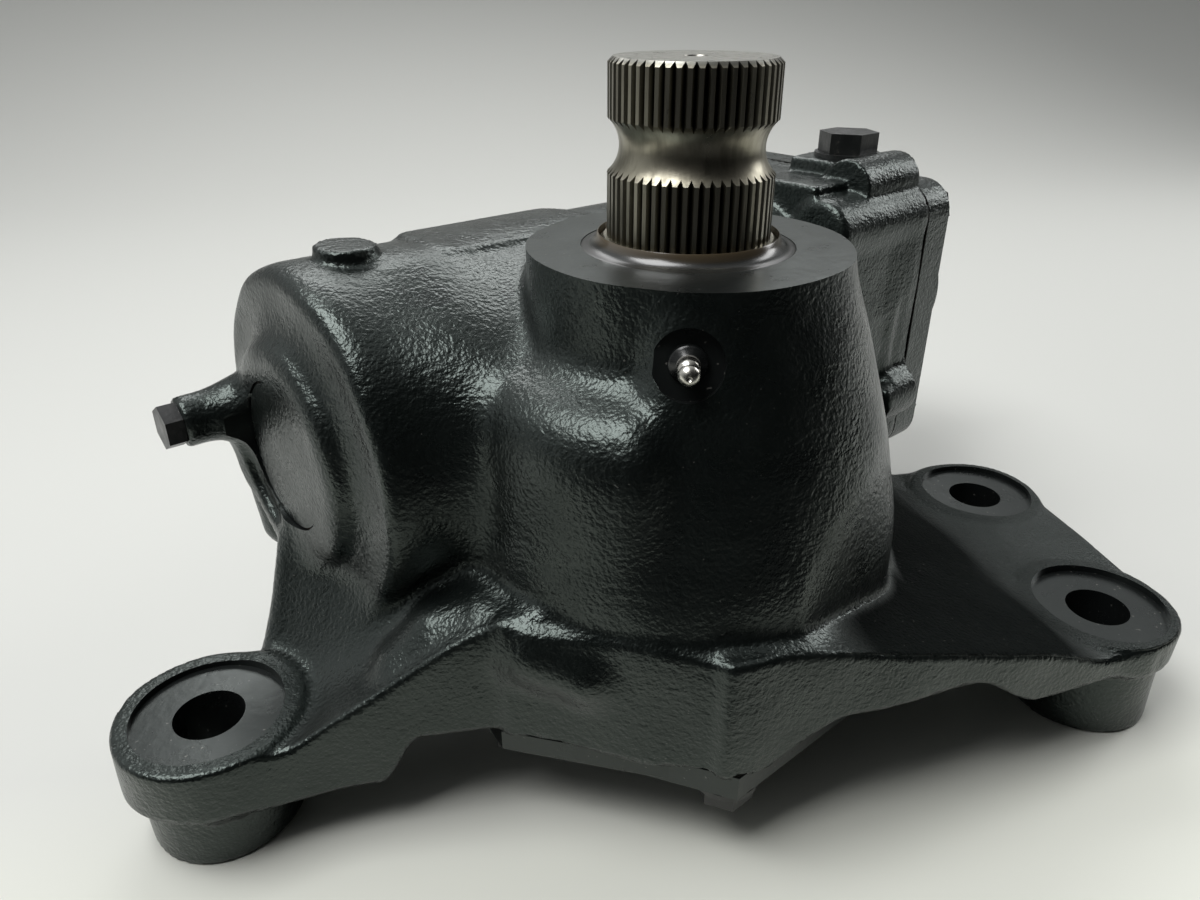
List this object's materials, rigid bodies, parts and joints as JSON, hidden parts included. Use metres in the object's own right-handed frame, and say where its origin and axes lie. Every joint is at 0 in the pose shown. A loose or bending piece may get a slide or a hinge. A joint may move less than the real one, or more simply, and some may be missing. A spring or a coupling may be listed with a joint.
{
  "type": "steering gearbox",
  "caption": "Hydraulic recirculating-ball steering gear: cast housing with piston cylinder, serrated output shaft, rotary valve end and bolt-on mounting feet.",
  "frame": {"origin": "on the output shaft's axis, level with the trunnion face where the drop arm sits", "axes": "+Z along the output shaft towards its free end, +X along the line of the two front mounting holes, +Y towards the piston cylinder"},
  "size_m": [0.3854, 0.3084, 0.2293],
  "materials": {
    "casing_paint": "semi-gloss black paint over a sand casting",
    "fastener_paint": "black painted steel",
    "shaft_steel": "bare satin steel",
    "bright_steel": "bright machined steel",
    "piston_iron": "machined iron",
    "seal_rubber": "black rubber",
    "gasket_fibre": "fibre gasket sheet",
    "ring_steel": "spring steel with surface rust"
  },
  "bodies": {
    "casing": {"gear_housing": "casing_paint", "end_cover": "casing_paint", "end_retaining_ring": "ring_steel", "stop_screw": "fastener_paint", "side_cover": "casing_paint", "side_cover_gasket": "gasket_fibre", "side_cover_bolts": "fastener_paint", "adjuster_screw": "bright_steel", "adjuster_lock_nut": "bright_steel", "cover_bearing": "bright_steel", "trunnion_bearing": "bright_steel", "output_seal": "seal_rubber", "dust_seal": "seal_rubber", "grease_fitting": "bright_steel", "port_plug": "fastener_paint", "valve_housing": "casing_paint", "valve_housing_gasket": "gasket_fibre", "valve_housing_bolts": "fastener_paint", "relief_plug": "fastener_paint", "worm_bearing": "bright_steel", "input_bearing": "bright_steel", "input_seal": "seal_rubber", "input_dust_cap": "seal_rubber"},
    "sector": {"sector_shaft": "shaft_steel"},
    "piston": {"rack_piston": "piston_iron", "piston_ring": "gasket_fibre", "recirculating_balls": "bright_steel", "ball_return_guide": "bright_steel"},
    "worm": {"worm_shaft": "shaft_steel", "valve_sleeve": "bright_steel", "torsion_bar": "shaft_steel"},
    "input": {"input_shaft": "shaft_steel"}
  },
  "joints": [
    {"name": "sector_swing", "type": "hinge", "parent": "casing", "child": "sector", "pos_m": [0, 0, 0], "axis": [0, 0, 1], "range_deg": [-45, 45]},
    {"name": "piston_slide", "type": "slide", "parent": "casing", "child": "piston", "axis": [0.866, 0.5, 0], "range_m": [-0.0377, 0.0377]},
    {"name": "worm_turn", "type": "hinge", "parent": "casing", "child": "worm", "pos_m": [-0.04, 0.06928, -0.07], "axis": [0.866, 0.5, 0], "range_deg": [-905, 905]},
    {"name": "valve_twist", "type": "hinge", "parent": "worm", "child": "input", "pos_m": [0.15468, 0.18168, -0.07], "axis": [0.866, 0.5, 0], "range_deg": [-4, 4]}
  ],
  "couplings": [
    {"joint": "piston_slide", "follows": "sector_swing", "m_per_rad": -0.048},
    {"joint": "worm_turn", "follows": "sector_swing", "ratio": 20.106}
  ]
}
